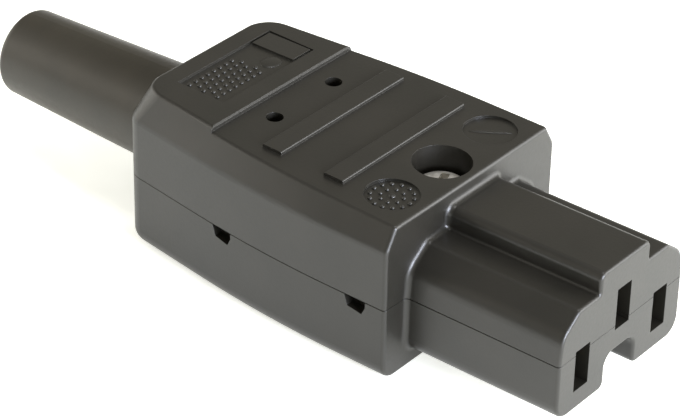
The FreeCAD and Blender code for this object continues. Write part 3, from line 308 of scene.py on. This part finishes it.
def screw_tree():
    """A domed head on a threaded shank, with one or two blocks cut out for the driver."""
    tree, given = new_tree("threaded_screw", (
        "Head Radius", "Head Height", "Shank Radius", "Length", "Pitch",
        "Cut Width", "Cut Length", "Cross Length", "Cut Depth", "Turn",
    ))
    # Head: a cylinder whose top falls away towards its rim
    disc = add(tree, "GeometryNodeMeshCylinder", {
        **HEAD_MESH, "Radius": given["Head Radius"], "Depth": given["Head Height"],
    })
    spot = add(tree, "GeometryNodeInputPosition")
    flat = add(tree, "ShaderNodeVectorMath", {0: spot, 1: (1, 1, 0)}, operation="MULTIPLY")
    reach = add(tree, "ShaderNodeVectorMath", {0: flat}, operation="LENGTH")
    outward = add(tree, "ShaderNodeMath", {0: reach.outputs["Value"], 1: given["Head Radius"]}, operation="DIVIDE")
    fall = add(tree, "ShaderNodeMath", {0: outward, 1: DOME_POWER}, operation="POWER")
    height = add(tree, "ShaderNodeSeparateXYZ", {0: spot})
    above = add(tree, "ShaderNodeMapRange", {
        "Value": height.outputs["Z"], "From Min": 0.0, "From Max": given["Head Height"], "To Max": DOME_SLOPE,
    })
    drop = add(tree, "ShaderNodeMath", {0: fall, 1: above}, operation="MULTIPLY")
    sink = add(tree, "ShaderNodeMath", {0: drop, 1: given["Head Height"]}, operation="MULTIPLY")
    lower = add(tree, "ShaderNodeCombineXYZ", {2: sink})
    head = add(tree, "GeometryNodeSetPosition", {"Geometry": disc, "Offset": lower})
    half_head = add(tree, "ShaderNodeMath", {0: given["Head Height"], 1: 0.5}, operation="MULTIPLY")
    lift = add(tree, "ShaderNodeCombineXYZ", {2: half_head})
    raised = add(tree, "GeometryNodeTransform", {"Geometry": head, "Translation": lift})
    # Shank: a cylinder drawn in and out along a helix
    rod = add(tree, "GeometryNodeMeshCylinder", {
        **SHANK_MESH, "Radius": given["Shank Radius"], "Depth": given["Length"],
    })
    angle = add(tree, "ShaderNodeMath", {0: height.outputs["Y"], 1: height.outputs["X"]}, operation="ARCTAN2")
    part_turn = add(tree, "ShaderNodeMath", {0: angle, 1: math.tau}, operation="DIVIDE")
    turns = add(tree, "ShaderNodeMath", {0: height.outputs["Z"], 1: given["Pitch"]}, operation="DIVIDE")
    helix = add(tree, "ShaderNodeMath", {0: turns, 1: part_turn}, operation="SUBTRACT")
    wave = add(tree, "ShaderNodeMath", {0: helix, 1: 0.5}, operation="PINGPONG")
    ratio = add(tree, "ShaderNodeMath", {0: given["Pitch"], 1: given["Shank Radius"]}, operation="DIVIDE")
    depth = add(tree, "ShaderNodeMath", {0: wave, 1: ratio}, operation="MULTIPLY")
    girth = add(tree, "ShaderNodeMath", {0: 1.0, 1: depth}, operation="SUBTRACT")
    squeeze = add(tree, "ShaderNodeCombineXYZ", {0: girth, 1: girth, 2: 1.0})
    drawn_in = add(tree, "ShaderNodeVectorMath", {0: spot, 1: squeeze}, operation="MULTIPLY")
    threaded = add(tree, "GeometryNodeSetPosition", {"Geometry": rod, "Position": drawn_in})
    half_rod = add(tree, "ShaderNodeMath", {0: given["Length"], 1: SHANK_MIDDLE}, operation="MULTIPLY")
    hang = add(tree, "ShaderNodeCombineXYZ", {2: half_rod})
    hung = add(tree, "GeometryNodeTransform", {"Geometry": threaded, "Translation": hang})
    blank = add(tree, "GeometryNodeMeshBoolean", operation="UNION", solver="EXACT")
    for solid in (raised, hung):
        tree.links.new(solid.outputs[0], blank.inputs["Mesh 2"])
    # Driver's cut
    double_depth = add(tree, "ShaderNodeMath", {0: given["Cut Depth"], 1: 2.0}, operation="MULTIPLY")
    top = add(tree, "ShaderNodeCombineXYZ", {2: given["Head Height"]})
    driven = add(tree, "GeometryNodeMeshBoolean", {"Mesh 1": blank}, operation="DIFFERENCE", solver="EXACT")
    for along, across in (("Cut Length", "Cut Width"), ("Cut Width", "Cross Length")):
        block = add(tree, "ShaderNodeCombineXYZ", {0: given[along], 1: given[across], 2: double_depth})
        cube = add(tree, "GeometryNodeMeshCube", {"Size": block})
        cutter = add(tree, "GeometryNodeTransform", {"Geometry": cube, "Translation": top})
        tree.links.new(cutter.outputs[0], driven.inputs["Mesh 2"])
    twist = add(tree, "ShaderNodeCombineXYZ", {2: given["Turn"]})
    turned = add(tree, "GeometryNodeTransform", {"Geometry": driven, "Rotation": twist})
    close_tree(tree, turned, given)
    return tree


def pip_tree():
    """Low domes on points. A point's reach is the dome's half width along X and Y and its rise."""
    tree, given = new_tree("raised_pips", ("Sink",))
    ball = add(tree, "GeometryNodeMeshUVSphere", PIP_MESH)
    spot = add(tree, "GeometryNodeInputPosition")
    low = add(tree, "ShaderNodeCombineXYZ", {0: UNCUT, 1: UNCUT, 2: given["Sink"]})
    flat = add(tree, "ShaderNodeVectorMath", {0: spot, 1: low}, operation="MAXIMUM")
    dome = add(tree, "GeometryNodeSetPosition", {"Geometry": ball, "Position": flat})
    reach = add(tree, "GeometryNodeInputNamedAttribute", {"Name": "reach"}, data_type="FLOAT_VECTOR")
    turn = add(tree, "GeometryNodeInputNamedAttribute", {"Name": "turn"}, data_type="FLOAT_VECTOR")
    spread = add(tree, "GeometryNodeInstanceOnPoints", {
        "Points": given["Geometry"], "Instance": dome, "Scale": reach, "Rotation": turn,
    })
    close_tree(tree, spread, given)
    return tree


# Screws with their threads and driver's cuts

screws = screw_tree()


def make_screw(node, sizes, turn, plate):
    """A threaded screw, turned by some degrees. Its head width, length and place come from the plain solid."""
    shank, pitch, head, (width, length, cross, depth) = sizes
    low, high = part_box(node)
    seat = high.z - head * MM
    values = {
        "Head Radius": (high.x - low.x) / 2,
        "Head Height": head * MM,
        "Shank Radius": shank * MM,
        "Length": seat - low.z,
        "Pitch": pitch * MM,
        "Cut Width": width * MM,
        "Cut Length": length * MM,
        "Cross Length": cross * MM,
        "Cut Depth": depth * MM,
        "Turn": math.radians(turn),
        "Place": Vector(((low.x + high.x) / 2, (low.y + high.y) / 2, seat)),
        "Material": plate,
    }
    piece = grow(node + "_threaded", screws, values, bpy.data.meshes.new(node + "_seed"))
    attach(piece, node)
    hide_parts(node)


make_screw("case_screw", CASE_SCREW, 20, zinc_plate)
for side, turn in (("left", 35), ("right", 80), ("earth", 10)):
    make_screw(side + "_terminal_screw", TERMINAL_SCREW, turn, nickel_plate)
for side, turn in (("left", 60), ("right", 15)):
    make_screw("cord_clamp_screw_" + side, CLAMP_SCREW, turn, nickel_plate)

# Raised marks on the case

pips = pip_tree()


def make_pips(name, rows):
    """Raised domes on the upper shell. A row is x, y, floor, half width along X and along Y, rise and turn."""
    seed = bpy.data.meshes.new(name + "_points")
    seed.from_pydata([Vector(row[:3]) * MM for row in rows], [], [])
    reach = seed.attributes.new("reach", "FLOAT_VECTOR", "POINT")
    turn = seed.attributes.new("turn", "FLOAT_VECTOR", "POINT")
    for i, row in enumerate(rows):
        reach.data[i].vector = Vector(row[3:6]) * MM
        turn.data[i].vector = (0.0, 0.0, math.radians(row[6]))
    piece = grow(name, pips, {"Sink": PIP_SINK, "Material": case_plastic}, seed)
    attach(piece, "upper_case")


disc_rows = []
for radius, count, half, first in DISC_RINGS:
    for i in range(count):
        a = math.tau * i / count + first
        x = DISC_X + radius * math.cos(a)
        y = -DISC_Y + radius * math.sin(a)
        disc_rows.append((x, y, DISC_FLOOR, half, half, DISC_RISE, 0.0))
disc_rows.append((DISC_X, -DISC_Y, DISC_FLOOR, DISC_BOSS, DISC_BOSS, DISC_RISE, 0.0))
make_pips("near_disc_pips", disc_rows)
make_pips("far_disc_ridge", [(DISC_X, DISC_Y, DISC_FLOOR, *DISC_RIDGE)])
label_rows = [(*LABEL_OVAL_PLACE, LABEL_FLOOR, *LABEL_OVAL, 0.0)]
for row in range(LABEL_ROWS):
    for column in range(LABEL_COLUMNS):
        x = LABEL_FIRST_PIP[0] + LABEL_PITCH * row
        y = LABEL_FIRST_PIP[1] + LABEL_PITCH * (column + row % 2 / 2)
        label_rows.append((x, y, LABEL_FLOOR, *LABEL_PIP, 0.0))
make_pips("label_pips", label_rows)

# Floor

# White paper, lit through from below, so that it stays white close to the part.
paper, paper_tree, paper_coords = new_material("backlit_white_paper")
fibre = add(paper_tree, "ShaderNodeTexNoise", {
    "Vector": paper_coords, "Scale": per(FIBRE_SIZE), "Detail": FIBRE_DETAIL,
})
paper_mix = add(paper_tree, "ShaderNodeMix", {
    MIX_SHARE: fibre, MIX_FIRST: linear("#f2f3ed"), MIX_SECOND: linear("#fefffa"),
}, data_type="RGBA")
paper_tint = paper_mix.outputs[MIX_RESULT]
across = add(paper_tree, "ShaderNodeVectorMath", {0: paper_coords, 1: BRIGHT_SIDE}, operation="DOT_PRODUCT")
paper_glow = add(paper_tree, "ShaderNodeMapRange", {
    "Value": across.outputs["Value"], "From Min": FLOOR_BAND[0] * MM, "From Max": FLOOR_BAND[1] * MM,
    "To Min": FLOOR_GLOW[0], "To Max": FLOOR_GLOW[1],
})
paper_skin = add(paper_tree, "ShaderNodeBsdfPrincipled", {
    "Base Color": paper_tint, "Roughness": PAPER_ROUGHNESS,
    "Emission Color": paper_tint, "Emission Strength": paper_glow,
})
add(paper_tree, "ShaderNodeOutputMaterial", {"Surface": paper_skin})
floor_mesh = bpy.data.meshes.new("paper_floor")
floor_level = cad_box[0][2] - FLOOR_DROP * MM
edge = FLOOR_HALF * MM
corners = [(x * edge, y * edge, floor_level) for x, y in ((-1, -1), (1, -1), (1, 1), (-1, 1))]
floor_mesh.from_pydata(corners, [], [(0, 1, 2, 3)])
floor_mesh.materials.append(paper)
floor = bpy.data.objects.new("paper_floor", floor_mesh)
bpy.context.collection.objects.link(floor)

# Light

world = bpy.data.worlds.new("studio")
bpy.context.scene.world = world
world.use_nodes = True
room = world.node_tree
room.nodes.clear()
gaze = add(room, "ShaderNodeTexCoord").outputs["Generated"]
rise = add(room, "ShaderNodeSeparateXYZ", {0: gaze}).outputs["Z"]
walls = []
for level, foot in (DIM_WALL, BRIGHT_WALL):
    wall = add(room, "ShaderNodeValToRGB", {"Fac": rise})
    ramp = wall.color_ramp.elements
    ramp.remove(ramp[1])
    ramp[0].color = linear(level)
    for height, code in ((WALL_FOOT, foot), *CEILING):
        ramp.new(height).color = linear(code)
    walls.append(wall.outputs["Color"])
facing = add(room, "ShaderNodeVectorMath", {0: gaze, 1: BRIGHT_SIDE}, operation="DOT_PRODUCT")
share = add(room, "ShaderNodeMapRange", {
    "Value": facing.outputs["Value"], "From Min": ROOM_TURN[0], "From Max": ROOM_TURN[1],
})
around = add(room, "ShaderNodeMix", {
    MIX_SHARE: share, MIX_FIRST: walls[0], MIX_SECOND: walls[1],
}, data_type="RGBA")
glow = add(room, "ShaderNodeBackground", {"Color": around.outputs[MIX_RESULT], "Strength": 1.0})
add(room, "ShaderNodeOutputWorld", {"Surface": glow})


def make_softbox(name, toward, width, height, watts, code):
    """A rectangular softbox that faces the part."""
    light = bpy.data.lights.new(name, "AREA")
    light.shape = "RECTANGLE"
    light.size = width * MM
    light.size_y = height * MM
    light.energy = watts
    light.color = linear(code)[:3]
    lamp = bpy.data.objects.new(name, light)
    away = Vector(toward).normalized()
    facing_part = away.to_track_quat("Z", "Y").to_matrix().to_4x4()
    lamp.matrix_world = Matrix.Translation(away * SOFTBOX_DISTANCE * MM) @ facing_part
    lamp.visible_camera = False
    bpy.context.collection.objects.link(lamp)


make_softbox("right_softbox", (0.75, 0.6, 0.25), width=900, height=600, watts=10.0, code="#ffffff")
make_softbox("top_softbox", (0.1, 0.2, 1.0), width=200, height=200, watts=2.0, code="#ffffff")
make_softbox("left_softbox", (-0.95, -0.35, 0.3), width=900, height=600, watts=4.0, code="#fffaf0")
make_softbox("front_softbox", (0.95, -0.15, 0.25), width=300, height=300, watts=16.0, code="#e8eeff")

# Camera

back = Vector((
    math.sin(CAMERA_AZIMUTH) * math.cos(CAMERA_ELEVATION),
    -math.cos(CAMERA_AZIMUTH) * math.cos(CAMERA_ELEVATION),
    math.sin(CAMERA_ELEVATION),
))
level_right = Vector((0, 0, 1)).cross(back).normalized()
right = level_right * math.cos(CAMERA_ROLL) + back.cross(level_right) * math.sin(CAMERA_ROLL)
axes = Matrix((right, back.cross(right), back)).transposed()
lens = bpy.data.cameras.new("camera")
lens.lens = CAMERA_LENS
lens.sensor_width = CAMERA_SENSOR
lens.clip_start = CAMERA_NEAREST * MM
camera = bpy.data.objects.new("camera", lens)
camera.matrix_world = Matrix.Translation((Vector(CAMERA_AIM) + back * CAMERA_DISTANCE) * MM) @ axes.to_4x4()
bpy.context.collection.objects.link(camera)
bpy.context.scene.camera = camera
bpy.context.scene.view_settings.view_transform = "Standard"
